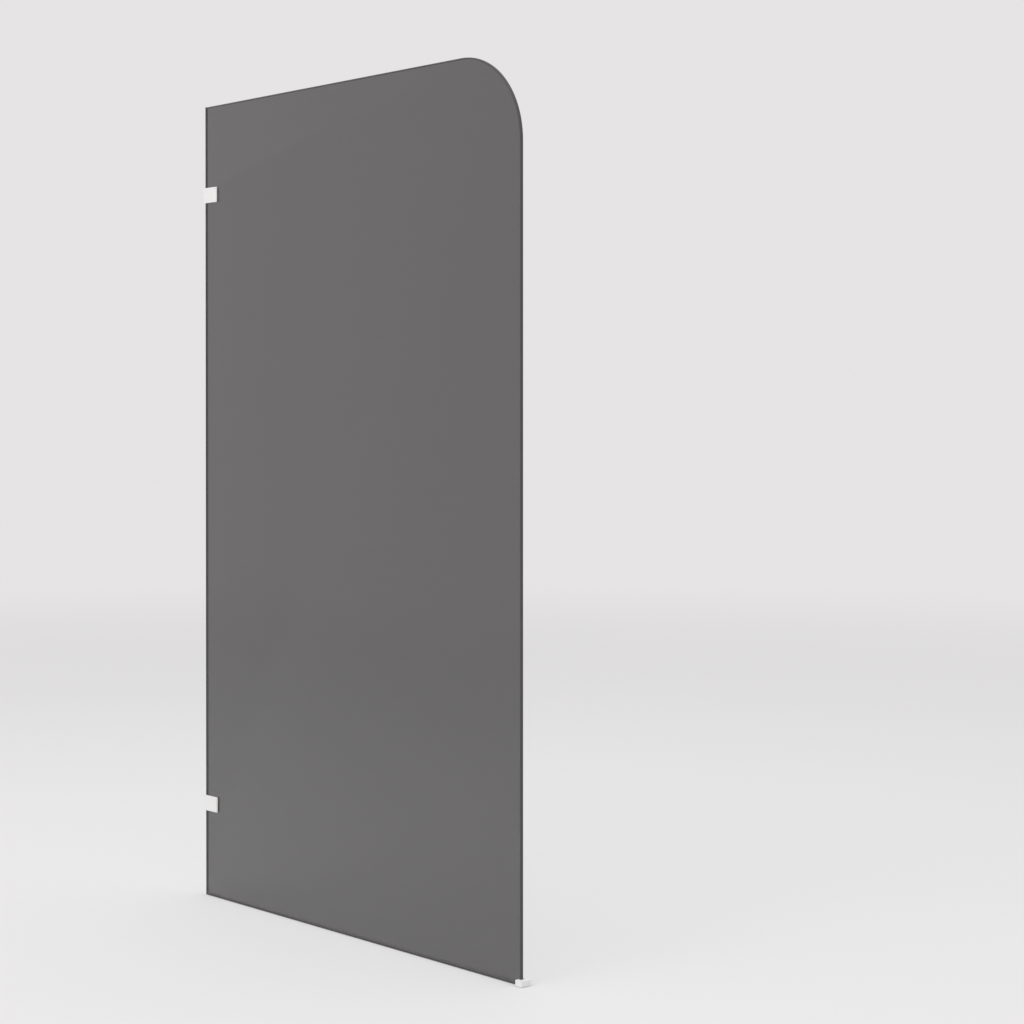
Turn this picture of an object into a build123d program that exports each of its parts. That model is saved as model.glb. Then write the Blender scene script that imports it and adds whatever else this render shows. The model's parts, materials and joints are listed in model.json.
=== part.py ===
from build123d import *
import os

# A walk-in shower screen: one fixed, frameless pane of smoked glass with its top outer corner
# rounded. Two clamps hold it to the wall and one clip holds its outer end to the floor.
# Millimetres. +X runs from the wall to the outer end, +Y into the shower and +Z up.
# The origin lies where the wall, the floor and the middle of the glass meet.

# Screen
SCREEN_REACH = 1200.0  # wall to the outer end of the glass
SCREEN_HEIGHT = 2000.0  # floor to the top of the glass
GLASS_THICKNESS = 8.0
CORNER_RADIUS = 200.0  # top outer corner
EDGE_FLAT = 0.4  # left flat in the middle of the rounded edge, all along the outline
WALL_GAP = 3.0  # wall to glass
FLOOR_GAP = 3.0  # floor to glass

# Wall clamps: an outer jaw with its boss in one casting, and a loose inner jaw
UPPER_CLAMP_BELOW_TOP = 225.0  # top of the glass to the clamp's middle
LOWER_CLAMP_ABOVE_FLOOR = 235.0
CLAMP_LENGTH = 55.0  # out from the wall
CLAMP_HEIGHT = 38.0
JAW_THICKNESS = 4.0
JAW_EDGE_RADIUS = 0.6
GASKET_THICKNESS = 1.0
GASKET_INSET = 0.4  # gasket edge to jaw edge
FOOT_CLEARANCE = 0.5  # clamp's foot to the edge of the glass
INNER_JAW_WALL_CLEARANCE = 0.5
INNER_JAW_SETBACK = 4.0  # its outer end to that of the outer jaw
JAW_CLEARANCE = 0.3  # boss to the inner jaw, so that the jaw bears on the glass alone
BOSS_LENGTH = 14.0  # out from the wall
BOSS_CORNER_RADIUS = 2.4
PACKER_THICKNESS = 1.5
PACKER_CLEARANCE = 0.1  # on each side of the packer

# Screws that close the jaws, and the hole for the screw into the wall
SCREW_DIAMETER = 5.0
SCREW_HEAD_DIAMETER = 9.4
SCREW_ENGAGEMENT = 8.0  # thread in the boss
SCREW_SPACING = 16.0
SCREW_COVER = 5.0  # screw's axis to the edge of the boss
SCREW_FROM_WALL = 6.5
SCREW_SINK = 0.2  # head below the face of the jaw
SCREW_CLEARANCE = 0.05  # on the radius
TIP_CLEARANCE = 0.5  # screw's tip to the bottom of its hole
TIP_BEVEL = 0.5
HEAD_RIM = 0.3  # straight rim above a head's cone
SOCKET_ACROSS_FLATS = 3.0
SOCKET_DEPTH = 1.9
WALL_HOLE_DIAMETER = 5.0
WALL_HEAD_DIAMETER = 8.4

# Floor clip at the outer end: a cup with a liner, closed by a plate and a grub screw
CLIP_LENGTH = 20.0
CLIP_OVERHANG = 12.0  # past the outer end of the glass
CLIP_DEPTH = 28.0
CLIP_HEIGHT = 14.0
CLIP_EDGE_RADIUS = 0.8
CLIP_FOOT_HEIGHT = 1.2
CLIP_FOOT_INSET = 1.5  # side of the clip to its foot
LINER_THICKNESS = 1.0
LINER_BELOW_RIM = 1.0
PLATE_THICKNESS = 1.5
PLATE_CLEARANCE = 0.3  # on the plate's edges and behind it
GRUB_DIAMETER = 5.0
GRUB_LENGTH = 6.0
GRUB_SOCKET_ACROSS_FLATS = 2.5
GRUB_SOCKET_DEPTH = 2.4
FLOOR_HOLE_DIAMETER = 4.2
FLOOR_HEAD_DIAMETER = 6.6

# Smoke-grey seals under the glass and along the wall
SEAL_INSET = 0.5  # face of the glass to the side of the seal
SEAL_EDGE_RADIUS = 0.5
SEAL_END_CLEARANCE = 0.3

# Levels across the thickness, the same on both sides of the glass
GLASS_FACE = GLASS_THICKNESS / 2
EDGE_RADIUS = (GLASS_THICKNESS - EDGE_FLAT) / 2
JAW_INNER_FACE = GLASS_FACE + GASKET_THICKNESS
JAW_OUTER_FACE = JAW_INNER_FACE + JAW_THICKNESS
BOSS_FACE = JAW_INNER_FACE - JAW_CLEARANCE

# Clamp
CLAMP_CENTRES = {
    "upper": SCREEN_HEIGHT - UPPER_CLAMP_BELOW_TOP,
    "lower": LOWER_CLAMP_ABOVE_FLOOR,
}
FOOT_THICKNESS = WALL_GAP - FOOT_CLEARANCE
BOSS_HEIGHT = SCREW_SPACING + 2 * SCREW_COVER
PACKER_GROWTH = PACKER_CLEARANCE + PACKER_THICKNESS
NOTCH_GROWTH = PACKER_GROWTH + PACKER_CLEARANCE
SCREW_HEAD_LEVEL = JAW_OUTER_FACE - SCREW_SINK
SCREW_LENGTH = SCREW_HEAD_LEVEL - BOSS_FACE + SCREW_ENGAGEMENT

# Clip
CLIP_START = SCREEN_REACH + CLIP_OVERHANG - CLIP_LENGTH
CLIP_END = SCREEN_REACH + CLIP_OVERHANG
SLOT_END = SCREEN_REACH + LINER_THICKNESS
SLOT_MIDDLE = (CLIP_START + SLOT_END) / 2
SLOT_FLOOR = FLOOR_GAP - LINER_THICKNESS
LINER_FACE = GLASS_FACE + LINER_THICKNESS
PLATE_BACK = LINER_FACE + PLATE_THICKNESS
SLOT_BACK = PLATE_BACK + PLATE_CLEARANCE
GRUB_LEVEL = (SLOT_FLOOR + CLIP_HEIGHT) / 2


def block(x_span, y_span, z_span):
    """A box between two limits along each axis."""
    spans = (x_span, y_span, z_span)
    middle = [(low + high) / 2 for low, high in spans]
    return Pos(*middle) * Box(*[high - low for low, high in spans])


def soft_edged(body, edges, radius, thinnest):
    """The body with these edges rounded, by no more than its thinnest wall allows."""
    return fillet(edges, min(radius, thinnest / 3))


def sunk_form(shank_diameter, head_diameter, length):
    """A 90 degree countersunk shape, its head's face at the origin and its shank down -Z."""
    cone_depth = (head_diameter - shank_diameter) / 2
    rim = Pos(Z=-HEAD_RIM / 2) * Cylinder(head_diameter / 2, HEAD_RIM)
    cone = Cone(shank_diameter / 2, head_diameter / 2, cone_depth)
    shank = Pos(Z=-length / 2) * Cylinder(shank_diameter / 2, length)
    return rim + Pos(Z=-HEAD_RIM - cone_depth / 2) * cone + shank


def hex_socket(across_flats, depth):
    """The hole for a hexagon key, sunk from the origin down -Z."""
    hexagon = RegularPolygon(across_flats / 2, 6, major_radius=False)
    return extrude(hexagon, -depth)


def along_y(x, y, z):
    """Turns what points up at the origin to point along +Y at a place."""
    return Pos(x, y, z) * Rot(X=-90)


def screw_places(centre):
    """Where the jaws' two screws have the faces of their heads."""
    offsets = {"top": SCREW_SPACING / 2, "bottom": -SCREW_SPACING / 2}
    return {
        end: along_y(SCREW_FROM_WALL, SCREW_HEAD_LEVEL, centre + offset)
        for end, offset in offsets.items()
    }


def boss_outline(centre, growth, y_span):
    """The boss's outline from the wall outwards, grown on its three free sides."""
    half_height = BOSS_HEIGHT / 2 + growth
    outline = block(
        (0, BOSS_LENGTH + growth), y_span, (centre - half_height, centre + half_height)
    )
    free_corners = outline.edges().filter_by(Axis.Y).group_by(Axis.X)[-1]
    return fillet(free_corners, BOSS_CORNER_RADIUS + growth)


def glass_panel():
    """The pane, with its edge rounded all along the outline and a notch behind each clamp."""
    width = SCREEN_REACH - WALL_GAP
    height = SCREEN_HEIGHT - FLOOR_GAP
    outline = Pos(WALL_GAP + width / 2, FLOOR_GAP + height / 2) * Rectangle(width, height)
    top_outer_corner = outline.vertices().group_by(Axis.Y)[-1].sort_by(Axis.X)[-1]
    outline = fillet(top_outer_corner, CORNER_RADIUS)
    pane = extrude(Plane.XZ * outline, GLASS_FACE, both=True)
    outer_faces = pane.faces().filter_by(Axis.Y)
    pane = fillet(outer_faces.edges(), EDGE_RADIUS)
    for centre in CLAMP_CENTRES.values():
        pane -= boss_outline(centre, NOTCH_GROWTH, (-GLASS_FACE, GLASS_FACE))
    return pane


def clamp_height_span(centre, inset=0.0):
    """The clamp's extent up and down, less an inset at each end."""
    half_height = CLAMP_HEIGHT / 2 - inset
    return (centre - half_height, centre + half_height)


def jaw_end(side):
    """How far the jaw on this side of the glass reaches from the wall."""
    return CLAMP_LENGTH - (INNER_JAW_SETBACK if side > 0 else 0)


def jaw(centre, start, side):
    """A jaw plate on one side of the glass, with the edges that show rounded."""
    faces = sorted((side * JAW_INNER_FACE, side * JAW_OUTER_FACE))
    plate = block((start, jaw_end(side)), faces, clamp_height_span(centre))
    free_edges = plate.edges().filter_by(
        lambda edge: edge.center().X > start and abs(edge.center().Y) > JAW_INNER_FACE
    )
    return soft_edged(plate, free_edges, JAW_EDGE_RADIUS, JAW_THICKNESS)


def clamp_body(centre):
    """Outer jaw, foot on the wall and the boss that fills the notch in the glass."""
    inward = (-JAW_INNER_FACE, BOSS_FACE)
    body = jaw(centre, 0, -1)
    body += block((0, FOOT_THICKNESS), inward, clamp_height_span(centre))
    body += boss_outline(centre, 0, inward)
    wall_hole = sunk_form(WALL_HOLE_DIAMETER, WALL_HEAD_DIAMETER, BOSS_LENGTH)
    body -= Pos(BOSS_LENGTH, 0, centre) * Rot(Y=90) * wall_hole
    thread = Cylinder(SCREW_DIAMETER / 2 + SCREW_CLEARANCE, SCREW_LENGTH + TIP_CLEARANCE)
    for place in screw_places(centre).values():
        body -= place * Pos(Z=-(SCREW_LENGTH + TIP_CLEARANCE) / 2) * thread
    return body


def clamp_inner_jaw(centre):
    """The plate on the wet side, which two countersunk screws draw on to the glass."""
    plate = jaw(centre, INNER_JAW_WALL_CLEARANCE, 1)
    hole = sunk_form(
        SCREW_DIAMETER + 2 * SCREW_CLEARANCE,
        SCREW_HEAD_DIAMETER + 2 * SCREW_CLEARANCE,
        JAW_THICKNESS,
    )
    mouth = Cylinder(SCREW_HEAD_DIAMETER / 2 + SCREW_CLEARANCE, SCREW_SINK)
    for place in screw_places(centre).values():
        plate -= place * (hole + Pos(Z=SCREW_SINK / 2) * mouth)
    return plate


def clamp_gasket(centre, side):
    """The pad between a jaw and the glass, cut away round the notch."""
    faces = sorted((side * GLASS_FACE, side * JAW_INNER_FACE))
    pad = block(
        (WALL_GAP, jaw_end(side) - GASKET_INSET),
        faces,
        clamp_height_span(centre, GASKET_INSET),
    )
    return pad - boss_outline(centre, NOTCH_GROWTH, faces)


def clamp_packer(centre):
    """The nylon lining that keeps the boss off the edges of the notch."""
    edge_to_edge = (-GLASS_FACE, GLASS_FACE)
    lining = boss_outline(centre, PACKER_GROWTH, edge_to_edge)
    lining -= boss_outline(centre, PACKER_CLEARANCE, edge_to_edge)
    half_height = BOSS_HEIGHT / 2 + PACKER_GROWTH
    at_the_foot = block((0, WALL_GAP), edge_to_edge, (centre - half_height, centre + half_height))
    return lining - at_the_foot


def jaw_screw(place):
    """A countersunk screw with a hexagon socket."""
    screw = sunk_form(SCREW_DIAMETER, SCREW_HEAD_DIAMETER, SCREW_LENGTH)
    tip = screw.edges().group_by(Axis.Z)[0]
    screw = chamfer(tip, TIP_BEVEL)
    return place * (screw - hex_socket(SOCKET_ACROSS_FLATS, SOCKET_DEPTH))


def floor_clip_body():
    """The block on the floor, slotted for the lower outer corner of the glass."""
    half_depth = CLIP_DEPTH / 2
    body = block((CLIP_START, CLIP_END), (-half_depth, half_depth), (CLIP_FOOT_HEIGHT, CLIP_HEIGHT))
    free_edges = body.edges().filter_by(lambda edge: edge.center().Z > CLIP_FOOT_HEIGHT)
    body = soft_edged(body, free_edges, CLIP_EDGE_RADIUS, CLIP_HEIGHT - CLIP_FOOT_HEIGHT)
    foot_side = half_depth - CLIP_FOOT_INSET
    body += block(
        (CLIP_START + CLIP_FOOT_INSET, CLIP_END - CLIP_FOOT_INSET),
        (-foot_side, foot_side),
        (0, CLIP_FOOT_HEIGHT),
    )
    body -= block((CLIP_START, SLOT_END), (-LINER_FACE, SLOT_BACK), (SLOT_FLOOR, CLIP_HEIGHT))
    floor_hole = sunk_form(FLOOR_HOLE_DIAMETER, FLOOR_HEAD_DIAMETER, SLOT_FLOOR)
    body -= Pos(SLOT_MIDDLE, 0, SLOT_FLOOR) * floor_hole
    wall = half_depth - SLOT_BACK
    thread = Pos(Z=-wall / 2) * Cylinder(GRUB_DIAMETER / 2 + SCREW_CLEARANCE, wall)
    return body - along_y(SLOT_MIDDLE, half_depth, GRUB_LEVEL) * thread


def floor_clip_liner():
    """The soft boot round the corner of the glass."""
    shell = block(
        (CLIP_START, SLOT_END),
        (-LINER_FACE, LINER_FACE),
        (SLOT_FLOOR, CLIP_HEIGHT - LINER_BELOW_RIM),
    )
    return shell - block(
        (CLIP_START, SCREEN_REACH), (-GLASS_FACE, GLASS_FACE), (FLOOR_GAP, CLIP_HEIGHT)
    )


def floor_clip_plate():
    """The plate that spreads the grub screw's push along the liner."""
    return block(
        (CLIP_START + PLATE_CLEARANCE, SLOT_END - PLATE_CLEARANCE),
        (LINER_FACE, PLATE_BACK),
        (SLOT_FLOOR + PLATE_CLEARANCE, CLIP_HEIGHT - LINER_BELOW_RIM),
    )


def floor_clip_grub_screw():
    """The headless screw through the wet side of the clip."""
    screw = Cylinder(GRUB_DIAMETER / 2, GRUB_LENGTH)
    screw = Pos(Z=-GRUB_LENGTH / 2) * chamfer(screw.edges(), TIP_BEVEL)
    screw -= hex_socket(GRUB_SOCKET_ACROSS_FLATS, GRUB_SOCKET_DEPTH)
    return along_y(SLOT_MIDDLE, PLATE_BACK + GRUB_LENGTH, GRUB_LEVEL) * screw


def seal_strip(x_span, z_span, length_axis):
    """A seal a little narrower than the glass, with its long edges rounded."""
    half_width = GLASS_FACE - SEAL_INSET
    strip = block(x_span, (-half_width, half_width), z_span)
    return soft_edged(
        strip, strip.edges().filter_by(length_axis), SEAL_EDGE_RADIUS, min(WALL_GAP, FLOOR_GAP)
    )


def floor_seal():
    """The strip under the glass, from the wall to the floor clip."""
    return seal_strip((0, CLIP_START - SEAL_END_CLEARANCE), (0, FLOOR_GAP), Axis.X)


def wall_seals():
    """The strips beside the glass, below, between and above the clamps."""
    breaks = [FLOOR_GAP]
    for centre in sorted(CLAMP_CENTRES.values()):
        breaks += clamp_height_span(centre, -SEAL_END_CLEARANCE)
    breaks.append(SCREEN_HEIGHT)
    names = ("wall_seal_lower", "wall_seal_middle", "wall_seal_upper")
    ends = zip(breaks[::2], breaks[1::2])
    return {
        name: seal_strip((0, WALL_GAP), span, Axis.Z) for name, span in zip(names, ends)
    }


def wall_clamp(name, centre):
    """All pieces of one clamp, by node name."""
    pieces = {
        f"{name}_clamp_body": clamp_body(centre),
        f"{name}_clamp_inner_jaw": clamp_inner_jaw(centre),
        f"{name}_clamp_outer_gasket": clamp_gasket(centre, -1),
        f"{name}_clamp_inner_gasket": clamp_gasket(centre, 1),
        f"{name}_clamp_packer": clamp_packer(centre),
    }
    for end, place in screw_places(centre).items():
        pieces[f"{name}_clamp_screw_{end}"] = jaw_screw(place)
    return pieces


def shower_screen():
    """Every piece of the screen, by node name."""
    pieces = {"glass_panel": glass_panel()}
    for name, centre in CLAMP_CENTRES.items():
        pieces |= wall_clamp(name, centre)
    pieces |= {
        "floor_clip_body": floor_clip_body(),
        "floor_clip_liner": floor_clip_liner(),
        "floor_clip_plate": floor_clip_plate(),
        "floor_clip_grub_screw": floor_clip_grub_screw(),
        "floor_seal": floor_seal(),
    }
    return pieces | wall_seals()


os.makedirs("parts", exist_ok=True)
for node, piece in shower_screen().items():
    export_step(piece, f"parts/{node}.step")
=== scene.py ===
"""Models and finishes a walk-in shower screen: a fixed pane of smoked glass and its fittings."""

import json
import math

import bmesh
import bpy
from bpy.props import FloatProperty, FloatVectorProperty, IntProperty, PointerProperty
from bpy.types import Operator, Panel, PropertyGroup
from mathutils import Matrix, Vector

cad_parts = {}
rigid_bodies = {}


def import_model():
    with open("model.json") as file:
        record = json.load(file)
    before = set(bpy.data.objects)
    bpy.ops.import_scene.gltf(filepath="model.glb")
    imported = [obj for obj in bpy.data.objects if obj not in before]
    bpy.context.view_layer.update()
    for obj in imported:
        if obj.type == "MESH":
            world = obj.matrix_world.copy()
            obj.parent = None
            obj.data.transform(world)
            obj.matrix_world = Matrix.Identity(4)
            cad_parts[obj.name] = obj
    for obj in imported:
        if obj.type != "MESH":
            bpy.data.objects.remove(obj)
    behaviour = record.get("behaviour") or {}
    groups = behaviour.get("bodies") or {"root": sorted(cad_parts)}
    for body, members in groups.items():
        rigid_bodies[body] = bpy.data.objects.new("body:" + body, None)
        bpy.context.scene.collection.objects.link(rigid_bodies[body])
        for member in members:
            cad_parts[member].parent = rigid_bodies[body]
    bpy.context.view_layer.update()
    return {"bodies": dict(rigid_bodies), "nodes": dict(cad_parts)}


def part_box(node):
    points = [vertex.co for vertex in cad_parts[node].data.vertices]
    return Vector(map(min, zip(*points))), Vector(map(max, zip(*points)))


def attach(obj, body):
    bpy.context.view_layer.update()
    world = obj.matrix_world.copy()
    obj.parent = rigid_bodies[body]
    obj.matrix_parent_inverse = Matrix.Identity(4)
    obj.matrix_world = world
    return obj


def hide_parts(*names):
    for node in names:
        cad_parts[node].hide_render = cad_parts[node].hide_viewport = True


bl_info = {
    "name": "Walk-in shower screen",
    "version": (1, 0, 0),
    "blender": (4, 5, 0),
    "location": "3D View > Sidebar > Shower screen",
    "description": "Models and finishes a pane of smoked glass with its clamps, clip and seals",
    "category": "Add Mesh",
}

# The frame, in metres: +X from the wall outwards, +Y into the shower, +Z up
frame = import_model()
NODES = frame["nodes"]
BODY = next(iter(frame["bodies"]))

MILLIMETRE = 0.001
SMOOTHED_UP_TO = math.radians(20)
SQUARE_TO_Y = 0.9999  # how squarely the flat faces of the glass look along Y
CLAMPS = ("upper", "lower")
WALL_SEALS = ("wall_seal_lower", "wall_seal_middle", "wall_seal_upper")


# Settings


def length(name, description, default):
    """A length in metres."""
    return FloatProperty(
        name=name, description=description, default=default, min=0.0, unit="LENGTH", precision=5
    )


def share(name, description, default):
    """A number from 0 to 1."""
    return FloatProperty(
        name=name, description=description, default=default, min=0.0, max=1.0, subtype="FACTOR"
    )


def colour(name, description, default):
    """A colour, as linear light."""
    return FloatVectorProperty(
        name=name,
        description=description,
        default=default,
        min=0.0,
        max=1.0,
        size=3,
        subtype="COLOR",
    )


def place(name, description, default):
    """A place in metres."""
    return FloatVectorProperty(
        name=name,
        description=description,
        default=default,
        size=3,
        subtype="TRANSLATION",
        unit="LENGTH",
    )


def power(name, description, default):
    """A lamp's power in watts."""
    return FloatProperty(name=name, description=description, default=default, min=0.0)


class PaneSettings(PropertyGroup):
    """The pane of glass."""

    corner_radius: length("Corner radius", "Radius of the top outer corner", 0.2)
    corner_steps: IntProperty(
        name="Corner steps", description="Flats that make up the rounded corner", default=72, min=8
    )
    edge_radius: length("Edge radius", "Radius of the rounded edge, on both faces", 0.0038)
    edge_steps: IntProperty(
        name="Edge steps", description="Flats that make up each half of the edge", default=10, min=3
    )
    notch_corner: length("Notch corner", "Radius in the corners of each notch", 0.0041)
    notch_steps: IntProperty(
        name="Notch steps", description="Flats that make up each corner of a notch", default=12, min=2
    )
    notch_clearance: length("Notch clearance", "Gap between the glass and each packer", 0.0001)
    seating: length("Seating", "Hair's breadth between the glass and what touches it", 0.00002)
    tint: colour("Tint", "What the smoked glass lets through", (0.138, 0.1345, 0.1355))
    shadow: colour("Shadow", "What the glass lets through on to the floor", (0.82, 0.82, 0.82))
    edge_tint: colour("Edge tint", "The rounded edges, seen from outside", (0.078, 0.0765, 0.077))
    # Painted light: how many times paler the colour of the lower edge is painted, for light from the
    # floor
    painted_floor_light: FloatProperty(
        name="Floor glow",
        description="How many times paler the floor makes the lower edge",
        default=2.2,
        min=1.0,
    )
    roller_wave: length("Roller wave", "Distance between the faint waves left by toughening", 0.28)


class FinishSettings(PropertyGroup):
    """The fittings' colours."""

    coat: colour("Powder coat", "White powder coat of the clamps and clip", (0.82, 0.82, 0.81))
    coat_grain: length("Coat grain", "Size of the bumps in the powder coat", 0.0007)
    rubber: colour("Rubber", "Gaskets between the jaws and the glass", (0.045, 0.045, 0.047))
    nylon: colour("Nylon", "Packers round the clamps' bosses", (0.72, 0.71, 0.66))
    steel: colour("Steel", "Screws and pressure plate", (0.62, 0.62, 0.61))
    liner: colour("Liner", "Clear vinyl of the clip's liner", (0.93, 0.945, 0.945))
    floor_seal: colour("Floor seal", "Smoke-grey vinyl under the glass", (0.1, 0.098, 0.1))
    # Painted shade: the wall seals get a darker tone of the same smoke-grey vinyl, for shade along a
    # wall that isn't built
    wall_seal: colour("Wall seal", "Smoke-grey vinyl in the wall's shade", (0.07, 0.069, 0.07))


class StudioSettings(PropertyGroup):
    """The floor, the lights and the camera."""

    floor: colour("Floor", "Pale floor", (0.77, 0.76, 0.763))
    backdrop: colour("Backdrop", "What is seen beyond the floor", (0.79, 0.775, 0.78))
    floor_near: length("Floor near", "Distance at which the floor starts to fade", 2.2)
    floor_reach: length("Floor reach", "Distance at which the floor has faded away", 11.0)
    floor_radius: length("Floor radius", "Radius of the whole floor", 88.0)
    daylight: share("Daylight", "Level of the light from all round", 0.72)
    key_place: place("Key lamp", "In front of the screen and above it", (1.0, -10.0, 10.0))
    key_power: power("Key power", "Power of the key lamp", 570.0)
    top_place: place("Top lamp", "Over the screen, a little behind it", (1.5, 1.0, 8.0))
    top_power: power("Top power", "Power of the top lamp", 150.0)
    lamp_size: length("Lamp size", "Width of each soft lamp", 7.0)
    lens: FloatProperty(name="Lens", description="Focal length", default=76.053, unit="CAMERA")
    lens_shift: FloatProperty(
        name="Lens shift", description="Upward shift of the lens", default=-0.07224
    )
    camera_place: place("Camera place", "Where the camera stands", (4.6222, -3.0764, 1.2045))
    camera_turn: FloatVectorProperty(
        name="Camera turn",
        description="How the camera is turned",
        default=(math.radians(89.546), 0.0, math.radians(48.324)),
        size=3,
        subtype="EULER",
        unit="ROTATION",
    )


# Modelling


def add_block(name, low, high):
    """A block between two corners, with its place in its mesh, ready to be shaped."""
    bpy.ops.object.select_all(action="DESELECT")
    bpy.ops.mesh.primitive_cube_add(size=1, location=(low + high) / 2, scale=high - low)
    bpy.ops.object.transform_apply(location=True, rotation=True, scale=True)
    block = bpy.context.object
    block.name = name
    block.data.name = name
    return block


def bevel_edges(block, wanted, width, steps):
    """Bevels the edges of a mesh for which wanted(edge) is true."""
    bpy.ops.object.mode_set(mode="EDIT")
    bpy.ops.mesh.select_mode(type="EDGE")
    bpy.ops.mesh.select_all(action="DESELECT")
    mesh = bmesh.from_edit_mesh(block.data)
    for edge in mesh.edges:
        if wanted(edge):
            edge.select_set(True)
    bmesh.update_edit_mesh(block.data)
    bpy.ops.mesh.bevel(offset=width, segments=steps, affect="EDGES")
    bpy.ops.object.mode_set(mode="OBJECT")


def cut_away(piece, cutter):
    """Cuts one block out of a piece and deletes it."""
    bpy.ops.object.select_all(action="DESELECT")
    bpy.context.view_layer.objects.active = piece
    piece.select_set(True)
    cut = piece.modifiers.new("cut", "BOOLEAN")
    cut.operation = "DIFFERENCE"
    cut.solver = "EXACT"
    cut.object = cutter
    bpy.ops.object.modifier_apply(modifier=cut.name)
    bpy.data.objects.remove(cutter)


def open_edges(piece):
    """How many edges of a mesh don't join exactly two faces."""
    mesh = bmesh.new()
    mesh.from_mesh(piece.data)
    count = sum(not edge.is_manifold for edge in mesh.edges)
    mesh.free()
    return count


# Materials


def add(tree, kind, inputs=None, **attributes):
    """Adds a shader node. An input takes a value or another node's output."""
    made = tree.nodes.new(kind)
    for name, value in attributes.items():
        setattr(made, name, value)
    for name, value in (inputs or {}).items():
        if isinstance(value, bpy.types.NodeSocket):
            tree.links.new(value, made.inputs[name])
        else:
            made.inputs[name].default_value = value
    return made


def opaque(values):
    """A colour setting as the four numbers that a socket takes."""
    return (*values, 1.0)


def new_material(name):
    """An empty material's node tree and the place on the piece, in metres."""
    material = bpy.data.materials.new(name)
    material.use_nodes = True
    tree = material.node_tree
    tree.nodes.clear()
    return material, tree, add(tree, "ShaderNodeTexCoord").outputs["Object"]


def finish_material(tree, surface):
    """Connects the surface to the material's output."""
    add(tree, "ShaderNodeOutputMaterial", {"Surface": surface})


def noise(tree, place, size, detail=2.0, stretch=(1, 1, 1)):
    """Noise from 0 to 1 whose blobs are about this size, in metres, along each axis."""
    scaled = add(
        tree,
        "ShaderNodeMapping",
        {"Vector": place, "Scale": [1 / (size * longer) for longer in stretch]},
    )
    texture = add(
        tree,
        "ShaderNodeTexNoise",
        {"Vector": scaled.outputs["Vector"], "Scale": 1.0, "Detail": detail},
    )
    return texture.outputs["Fac"]


def spread(tree, value, low, high):
    """Spreads the middle of a noise between two numbers."""
    ranged = add(
        tree,
        "ShaderNodeMapRange",
        {"Value": value, "From Min": 0.25, "From Max": 0.75, "To Min": low, "To Max": high},
    )
    return ranged.outputs["Result"]


def tones(tree, value, base, change):
    """A colour that varies a little, down and up from its base, with a value from 0 to 1."""
    ramp = add(tree, "ShaderNodeValToRGB", {"Fac": value})
    for stop, factor in zip(ramp.color_ramp.elements, (1 - change, 1 + change)):
        stop.color = opaque([min(1.0, channel * factor) for channel in base])
    return ramp.outputs["Color"]


def bump(tree, height, depth, normal=None):
    """Relief of this depth in metres, over another relief if there is one."""
    inputs = {"Height": height, "Distance": depth, "Strength": 1.0}
    if normal is not None:
        inputs["Normal"] = normal
    return add(tree, "ShaderNodeBump", inputs).outputs["Normal"]


def smoked_glass(pane):
    """The faces of the pane: smooth, tinted through and very slightly waved by toughening."""
    material, tree, place = new_material("smoked_glass")
    waves = add(
        tree,
        "ShaderNodeTexWave",
        {"Vector": place, "Scale": math.tau / 20 / pane.roller_wave, "Distortion": 0.6},
        bands_direction="Z",
    )
    wiped = noise(tree, place, 0.09, detail=3.0, stretch=(1, 1, 3))
    glass = add(
        tree,
        "ShaderNodeBsdfPrincipled",
        {
            "Base Color": opaque(pane.tint),
            "Transmission Weight": 1.0,
            "IOR": 1.52,
            "Roughness": spread(tree, wiped, 0.0, 0.02),
            "Normal": bump(tree, waves.outputs["Fac"], 0.02 * MILLIMETRE),
        },
    )
    light = add(tree, "ShaderNodeLightPath")
    soft_rays = add(
        tree,
        "ShaderNodeMath",
        {0: light.outputs["Is Shadow Ray"], 1: light.outputs["Is Diffuse Ray"]},
        operation="MAXIMUM",
    )
    pale = add(tree, "ShaderNodeBsdfTransparent", {"Color": opaque([c**0.5 for c in pane.shadow])})
    both = add(
        tree,
        "ShaderNodeMixShader",
        {"Fac": soft_rays.outputs["Value"], 1: glass.outputs["BSDF"], 2: pale.outputs["BSDF"]},
    )
    finish_material(tree, both.outputs["Shader"])
    return material


def polished_edge(pane):
    """The edge of the pane: dark, with painted light that makes it paler over the floor, and with
    fine lines from grinding.
    """
    material, tree, place = new_material("smoked_glass_edge")
    lines = noise(tree, place, 0.25 * MILLIMETRE, stretch=(400, 1, 400))
    cloud = noise(tree, place, 0.03)
    height = add(tree, "ShaderNodeSeparateXYZ", {"Vector": place})
    rounded_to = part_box("glass_panel")[0].z + pane.edge_radius
    # Painted light: the edge's colour is scaled up towards the bottom of the pane, most at its lowest
    # rounding, for light from the floor
    glow = add(
        tree,
        "ShaderNodeMapRange",
        {
            "Value": height.outputs["Z"],
            "From Min": rounded_to,
            "From Max": rounded_to + pane.edge_radius,
            "To Min": pane.painted_floor_light,
            "To Max": 1.0,
        },
    )
    tint = add(
        tree,
        "ShaderNodeVectorMath",
        {0: tones(tree, cloud, pane.edge_tint, 0.1), "Scale": glow.outputs["Result"]},
        operation="SCALE",
    )
    surface = add(
        tree,
        "ShaderNodeBsdfPrincipled",
        {
            "Base Color": tint.outputs["Vector"],
            "Specular IOR Level": 0.2,
            "Roughness": spread(tree, lines, 0.3, 0.42),
            "Normal": bump(tree, lines, 0.004 * MILLIMETRE),
        },
    )
    finish_material(tree, surface.outputs["BSDF"])
    return material


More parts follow.
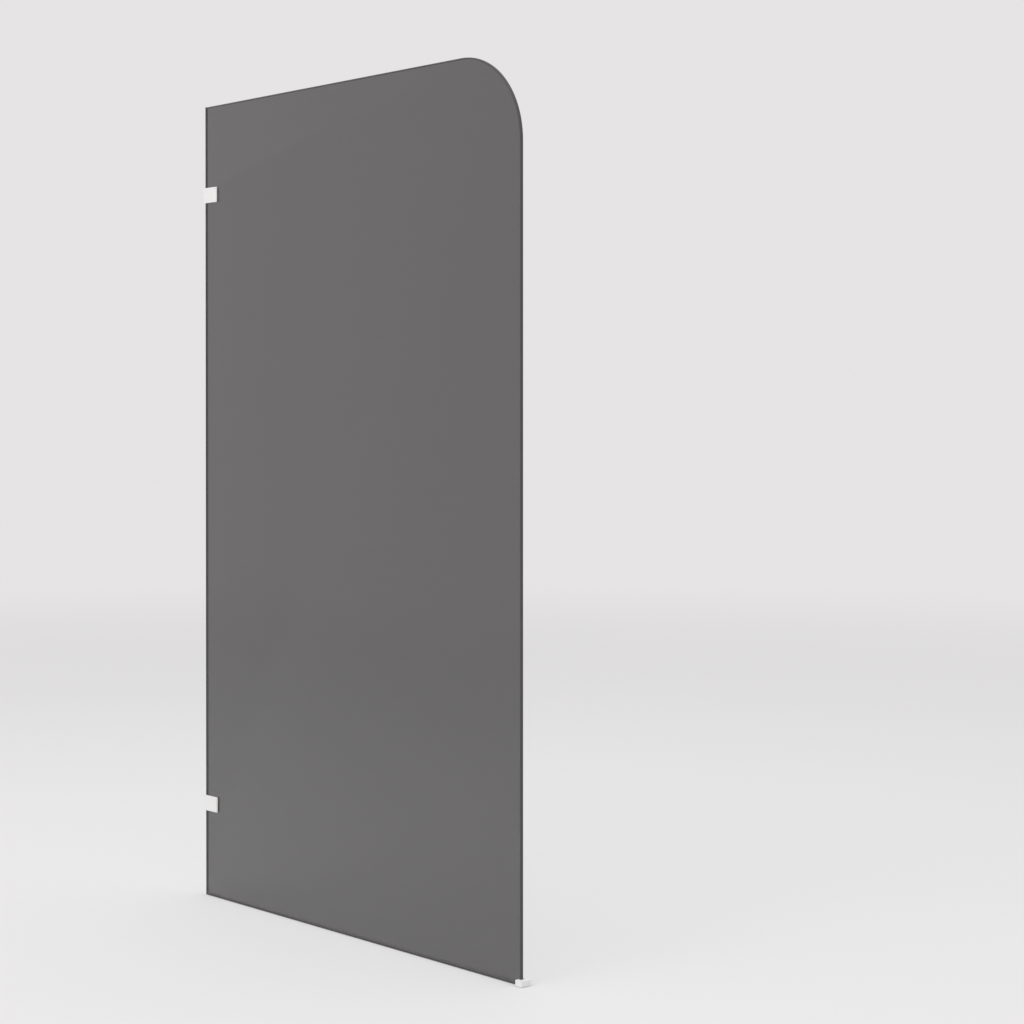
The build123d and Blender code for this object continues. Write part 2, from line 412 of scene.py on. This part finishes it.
def powder_coat(finish):
    """Satin white powder coat with its fine orange peel."""
    material, tree, place = new_material("white_powder_coat")
    peel = noise(tree, place, finish.coat_grain, detail=1.0)
    specks = noise(tree, place, 0.12 * MILLIMETRE, detail=1.0)
    cloud = noise(tree, place, 9 * MILLIMETRE)
    surface = add(
        tree,
        "ShaderNodeBsdfPrincipled",
        {
            "Base Color": tones(tree, cloud, finish.coat, 0.012),
            "Roughness": spread(tree, peel, 0.38, 0.5),
            "Normal": bump(
                tree, specks, 0.002 * MILLIMETRE, bump(tree, peel, 0.02 * MILLIMETRE)
            ),
        },
    )
    finish_material(tree, surface.outputs["BSDF"])
    return material


def gasket_rubber(finish):
    """Dark matt rubber with a slight bloom."""
    material, tree, place = new_material("gasket_rubber")
    grain = noise(tree, place, 0.3 * MILLIMETRE)
    bloom = noise(tree, place, 4 * MILLIMETRE)
    surface = add(
        tree,
        "ShaderNodeBsdfPrincipled",
        {
            "Base Color": tones(tree, bloom, finish.rubber, 0.2),
            "Roughness": spread(tree, bloom, 0.7, 0.85),
            "Normal": bump(tree, grain, 0.02 * MILLIMETRE),
        },
    )
    finish_material(tree, surface.outputs["BSDF"])
    return material


def natural_nylon(finish):
    """Milky nylon, a little translucent."""
    material, tree, place = new_material("natural_nylon")
    flow = noise(tree, place, 3 * MILLIMETRE, stretch=(1, 3, 1))
    grain = noise(tree, place, 0.2 * MILLIMETRE)
    surface = add(
        tree,
        "ShaderNodeBsdfPrincipled",
        {
            "Base Color": tones(tree, flow, finish.nylon, 0.03),
            "Roughness": spread(tree, flow, 0.4, 0.55),
            "Subsurface Weight": 0.3,
            "Subsurface Scale": MILLIMETRE,
            "Normal": bump(tree, grain, 0.008 * MILLIMETRE),
        },
    )
    finish_material(tree, surface.outputs["BSDF"])
    return material


def turned_steel(name, finish, axis_place):
    """Stainless steel with turning rings round an axis along Y."""
    material, tree, place = new_material(name)
    centred = add(
        tree,
        "ShaderNodeMapping",
        {"Vector": place, "Location": [-value for value in axis_place]},
    )
    rings = add(
        tree,
        "ShaderNodeTexWave",
        {
            "Vector": centred.outputs["Vector"],
            "Scale": math.tau / 20 / (0.25 * MILLIMETRE),
            "Distortion": 1.5,
            "Detail": 1.0,
        },
        wave_type="RINGS",
        rings_direction="Y",
    )
    ring = rings.outputs["Fac"]
    surface = add(
        tree,
        "ShaderNodeBsdfPrincipled",
        {
            "Base Color": tones(tree, ring, finish.steel, 0.05),
            "Metallic": 1.0,
            "Roughness": spread(tree, ring, 0.22, 0.34),
            "Normal": bump(tree, ring, 0.003 * MILLIMETRE),
        },
    )
    finish_material(tree, surface.outputs["BSDF"])
    return material


def brushed_steel(finish):
    """Stainless steel sheet, brushed along X."""
    material, tree, place = new_material("brushed_steel")
    brushing = noise(tree, place, 0.08 * MILLIMETRE, stretch=(60, 1, 1))
    surface = add(
        tree,
        "ShaderNodeBsdfPrincipled",
        {
            "Base Color": tones(tree, brushing, finish.steel, 0.05),
            "Metallic": 1.0,
            "Roughness": spread(tree, brushing, 0.25, 0.4),
            "Normal": bump(tree, brushing, 0.003 * MILLIMETRE),
        },
    )
    finish_material(tree, surface.outputs["BSDF"])
    return material


def clear_vinyl(finish):
    """Soft clear vinyl with a little haze."""
    material, tree, place = new_material("clear_vinyl")
    haze = noise(tree, place, 6 * MILLIMETRE)
    surface = add(
        tree,
        "ShaderNodeBsdfPrincipled",
        {
            "Base Color": opaque(finish.liner),
            "Transmission Weight": 0.7,
            "IOR": 1.53,
            "Roughness": spread(tree, haze, 0.3, 0.42),
            "Normal": bump(tree, haze, 0.05 * MILLIMETRE),
        },
    )
    finish_material(tree, surface.outputs["BSDF"])
    return material


def smoke_vinyl(name, shade, along):
    """Smoke-grey flexible vinyl with the faint lines that drawing leaves along it."""
    material, tree, place = new_material(name)
    lines = noise(tree, place, 0.3 * MILLIMETRE, stretch=along)
    cloud = noise(tree, place, 12 * MILLIMETRE)
    surface = add(
        tree,
        "ShaderNodeBsdfPrincipled",
        {
            "Base Color": tones(tree, cloud, shade, 0.08),
            "Specular IOR Level": 0.25,
            "Roughness": spread(tree, lines, 0.4, 0.55),
            "Normal": bump(tree, lines, 0.01 * MILLIMETRE),
        },
    )
    finish_material(tree, surface.outputs["BSDF"])
    return material


def floor_material(studio):
    """A pale matt floor that fades into the backdrop with distance."""
    material, tree, place = new_material("studio_floor")
    cloud = noise(tree, place, 1.5)
    matt = add(
        tree,
        "ShaderNodeBsdfPrincipled",
        {"Base Color": tones(tree, cloud, studio.floor, 0.006), "Roughness": 0.85},
    )
    beyond = add(tree, "ShaderNodeEmission", {"Color": opaque(studio.backdrop)})
    distance = add(tree, "ShaderNodeVectorMath", {0: place}, operation="LENGTH")
    fade = add(
        tree,
        "ShaderNodeMapRange",
        {
            "Value": distance.outputs["Value"],
            "From Min": studio.floor_near,
            "From Max": studio.floor_reach,
        },
        interpolation_type="SMOOTHSTEP",
    )
    both = add(
        tree,
        "ShaderNodeMixShader",
        {"Fac": fade.outputs["Result"], 1: matt.outputs["BSDF"], 2: beyond.outputs["Emission"]},
    )
    finish_material(tree, both.outputs["Shader"])
    return material


def dress(node, material):
    """Gives a node of the frame a finish."""
    for slot in NODES[node].material_slots:
        slot.material = material


def middle(node):
    """The middle of a node's box."""
    low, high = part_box(node)
    return (low + high) / 2


# Operators


class SCREEN_OT_glass_pane(Operator):
    """Models the pane with its rounded corner, its rounded edges and a notch at each clamp"""

    bl_idname = "shower_screen.glass_pane"
    bl_label = "Glass pane"

    def execute(self, context):
        settings = context.scene.screen_pane
        low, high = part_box("glass_panel")
        gap = Vector((settings.seating,) * 3)
        pane = add_block("glass_pane", low + gap, high - gap)
        self.round_corner(pane, settings)
        self.round_edge(pane, settings)
        for clamp in CLAMPS:
            self.cut_notch(pane, clamp, settings)
        self.assign_finishes(pane, settings)
        if open_edges(pane):
            raise RuntimeError("The pane isn't closed: make its edge radius or its notches smaller")
        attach(pane, BODY)
        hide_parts("glass_panel")
        return {"FINISHED"}

    def round_corner(self, pane, settings):
        """Rounds the top outer corner."""
        top = max(vertex.co.z for vertex in pane.data.vertices)
        end = max(vertex.co.x for vertex in pane.data.vertices)

        def at_corner(edge):
            return all(v.co.z > top - MILLIMETRE and v.co.x > end - MILLIMETRE for v in edge.verts)

        bevel_edges(pane, at_corner, settings.corner_radius, settings.corner_steps)

    def round_edge(self, pane, settings):
        """Rounds the edge all along the outline, from both faces."""
        bevel_edges(
            pane,
            lambda edge: edge.verts[0].co.y * edge.verts[1].co.y > 0,
            settings.edge_radius,
            settings.edge_steps,
        )

    def cut_notch(self, pane, clamp, settings):
        """Cuts the notch that a clamp's boss and packer sit in."""
        low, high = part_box(f"{clamp}_clamp_packer")
        past = Vector((MILLIMETRE, MILLIMETRE, 0))
        clearance = Vector((0, 0, settings.notch_clearance))
        inner_end = Vector((settings.notch_clearance, 0, 0))
        notch = add_block("notch", low - past - clearance, high + past + clearance)
        for vertex in notch.data.vertices:
            if vertex.co.x > high.x:
                vertex.co.x = (high + inner_end).x

        def at_corner(edge):
            along_y = abs(edge.verts[0].co.y - edge.verts[1].co.y) > MILLIMETRE
            return along_y and edge.verts[0].co.x > high.x

        bevel_edges(notch, at_corner, settings.notch_corner, settings.notch_steps)
        cut_away(pane, notch)

    def assign_finishes(self, pane, settings):
        """Gives the two faces clear tinted glass and all other surfaces the polished edge."""
        pane.data.materials.append(smoked_glass(settings))
        pane.data.materials.append(polished_edge(settings))
        for face in pane.data.polygons:
            face.material_index = 0 if abs(face.normal.y) > SQUARE_TO_Y else 1
        bpy.ops.object.select_all(action="DESELECT")
        pane.select_set(True)
        bpy.context.view_layer.objects.active = pane
        bpy.ops.object.shade_smooth_by_angle(angle=SMOOTHED_UP_TO)


class SCREEN_OT_wall_clamps(Operator):
    """Finishes the jaws, gaskets, packers and screws of both wall clamps"""

    bl_idname = "shower_screen.wall_clamps"
    bl_label = "Wall clamps"

    def execute(self, context):
        finish = context.scene.screen_finish
        coat = powder_coat(finish)
        rubber = gasket_rubber(finish)
        nylon = natural_nylon(finish)
        for clamp in CLAMPS:
            dress(f"{clamp}_clamp_body", coat)
            dress(f"{clamp}_clamp_inner_jaw", coat)
            dress(f"{clamp}_clamp_outer_gasket", rubber)
            dress(f"{clamp}_clamp_inner_gasket", rubber)
            dress(f"{clamp}_clamp_packer", nylon)
            for end in ("top", "bottom"):
                screw = f"{clamp}_clamp_screw_{end}"
                dress(screw, turned_steel(f"steel_{clamp}_{end}", finish, middle(screw)))
        return {"FINISHED"}


class SCREEN_OT_floor_clip(Operator):
    """Finishes the clip on the floor, its liner, its pressure plate and its grub screw"""

    bl_idname = "shower_screen.floor_clip"
    bl_label = "Floor clip"

    def execute(self, context):
        finish = context.scene.screen_finish
        dress("floor_clip_body", powder_coat(finish))
        dress("floor_clip_liner", clear_vinyl(finish))
        dress("floor_clip_plate", brushed_steel(finish))
        screw = "floor_clip_grub_screw"
        dress(screw, turned_steel("steel_grub", finish, middle(screw)))
        return {"FINISHED"}


class SCREEN_OT_seals(Operator):
    """Finishes the smoke-grey seals under the glass and along the wall"""

    bl_idname = "shower_screen.seals"
    bl_label = "Seals"

    def execute(self, context):
        finish = context.scene.screen_finish
        dress("floor_seal", smoke_vinyl("floor_seal_vinyl", finish.floor_seal, (400, 1, 1)))
        # Painted shade: the wall seals take the darker wall-seal tone of the same vinyl
        wall_vinyl_painted_shade = smoke_vinyl("wall_seal_vinyl_painted_shade", finish.wall_seal, (1, 1, 400))
        for seal in WALL_SEALS:
            dress(seal, wall_vinyl_painted_shade)
        return {"FINISHED"}


class SCREEN_OT_studio(Operator):
    """Sets up the floor, the backdrop, the soft lights and the camera"""

    bl_idname = "shower_screen.studio"
    bl_label = "Studio"

    def execute(self, context):
        studio = context.scene.screen_studio
        self.lay_floor(studio)
        self.light_room(context.scene, studio)
        self.add_lamp("key_lamp", studio.key_place, studio.key_power, studio.lamp_size)
        self.add_lamp("top_lamp", studio.top_place, studio.top_power, studio.lamp_size)
        self.set_camera(context.scene, studio)
        context.scene.view_settings.view_transform = "Standard"
        return {"FINISHED"}

    def lay_floor(self, studio):
        """A round floor just under the screen."""
        bpy.ops.object.select_all(action="DESELECT")
        bpy.ops.mesh.primitive_circle_add(
            vertices=96,
            radius=studio.floor_radius,
            fill_type="NGON",
            location=(0, 0, -0.1 * MILLIMETRE),
        )
        bpy.ops.object.transform_apply(location=True, rotation=True, scale=True)
        floor = bpy.context.object
        floor.name = "studio_floor"
        floor.data.materials.append(floor_material(studio))

    def light_room(self, scene, studio):
        """Even light from all round, and the backdrop wherever rays show what lies beyond."""
        world = bpy.data.worlds.new("studio_world")
        world.use_nodes = True
        scene.world = world
        tree = world.node_tree
        tree.nodes.clear()
        rays = add(tree, "ShaderNodeLightPath").outputs
        seen = rays["Is Camera Ray"]
        for ray in ("Is Glossy Ray", "Is Transmission Ray"):
            either = add(tree, "ShaderNodeMath", {0: seen, 1: rays[ray]}, operation="MAXIMUM")
            seen = either.outputs["Value"]
        daylight = add(tree, "ShaderNodeBackground", {"Strength": studio.daylight})
        daylight.inputs["Color"].default_value = (1, 1, 1, 1)
        backdrop = add(tree, "ShaderNodeBackground", {"Color": opaque(studio.backdrop)})
        both = add(
            tree,
            "ShaderNodeMixShader",
            {
                "Fac": seen,
                1: daylight.outputs["Background"],
                2: backdrop.outputs["Background"],
            },
        )
        add(tree, "ShaderNodeOutputWorld", {"Surface": both.outputs["Shader"]})

    def add_lamp(self, name, place, watts, size):
        """A large soft lamp that points at the middle of the screen."""
        lamp = bpy.data.lights.new(name, "AREA")
        lamp.energy = watts
        lamp.size = size
        holder = bpy.data.objects.new(name, lamp)
        bpy.context.scene.collection.objects.link(holder)
        holder.location = place
        towards = middle("glass_panel") - Vector(place)
        holder.rotation_euler = towards.to_track_quat("-Z", "Y").to_euler()

    def set_camera(self, scene, studio):
        """The camera, a little above the middle of the screen and out to its free end."""
        camera = bpy.data.cameras.new("camera")
        camera.lens = studio.lens
        camera.shift_y = studio.lens_shift
        holder = bpy.data.objects.new("camera", camera)
        scene.collection.objects.link(holder)
        holder.location = studio.camera_place
        holder.rotation_euler = studio.camera_turn
        scene.camera = holder


class SCREEN_PT_sidebar(Panel):
    """Lists the screen's settings and the steps that make it"""

    bl_idname = "SCREEN_PT_sidebar"
    bl_label = "Shower screen"
    bl_space_type = "VIEW_3D"
    bl_region_type = "UI"
    bl_category = "Shower screen"

    def draw(self, context):
        for group in SETTINGS:
            box = self.layout.box()
            settings = getattr(context.scene, group)
            for name in settings.__annotations__:
                box.prop(settings, name)
        for operator in OPERATORS:
            self.layout.operator(operator.bl_idname)


SETTINGS = {
    "screen_pane": PaneSettings,
    "screen_finish": FinishSettings,
    "screen_studio": StudioSettings,
}
OPERATORS = (
    SCREEN_OT_glass_pane,
    SCREEN_OT_wall_clamps,
    SCREEN_OT_floor_clip,
    SCREEN_OT_seals,
    SCREEN_OT_studio,
)


def register():
    """Registers the settings, the operators and the panel."""
    for name, group in SETTINGS.items():
        bpy.utils.register_class(group)
        setattr(bpy.types.Scene, name, PointerProperty(type=group))
    for operator in OPERATORS:
        bpy.utils.register_class(operator)
    bpy.utils.register_class(SCREEN_PT_sidebar)


def unregister():
    """Removes what register added."""
    bpy.utils.unregister_class(SCREEN_PT_sidebar)
    for operator in reversed(OPERATORS):
        bpy.utils.unregister_class(operator)
    for name, group in reversed(SETTINGS.items()):
        delattr(bpy.types.Scene, name)
        bpy.utils.unregister_class(group)


def main():
    """Makes the whole screen."""
    register()
    bpy.ops.shower_screen.glass_pane()
    bpy.ops.shower_screen.wall_clamps()
    bpy.ops.shower_screen.floor_clip()
    bpy.ops.shower_screen.seals()
    bpy.ops.shower_screen.studio()


if __name__ == "__main__":
    main()
